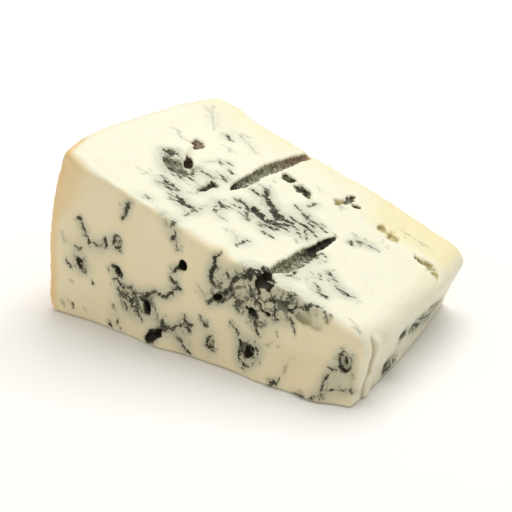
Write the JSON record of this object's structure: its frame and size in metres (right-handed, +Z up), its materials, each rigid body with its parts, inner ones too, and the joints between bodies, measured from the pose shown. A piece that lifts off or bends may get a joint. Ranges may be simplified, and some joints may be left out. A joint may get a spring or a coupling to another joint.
{
  "type": "gorgonzola wedge",
  "caption": "Wedge of blue-veined soft cheese with its thin end cut off: sloping top with needle troughs, curved rim, holes and torn hollows in its cut faces.",
  "frame": {"origin": "centre of the wedge's box, on its flat underside", "axes": "+X from the wheel's rim towards the cut tip, +Y from the sawn front face to the wheel's flat side, +Z up"},
  "size_m": [0.0928, 0.0639, 0.0411],
  "materials": {
    "cheese": "soft ivory paste with a moist sheen, blue-green veins and a tan rind"
  },
  "bodies": {
    "root": {"gorgonzola_wedge": "cheese"}
  },
  "joints": []
}
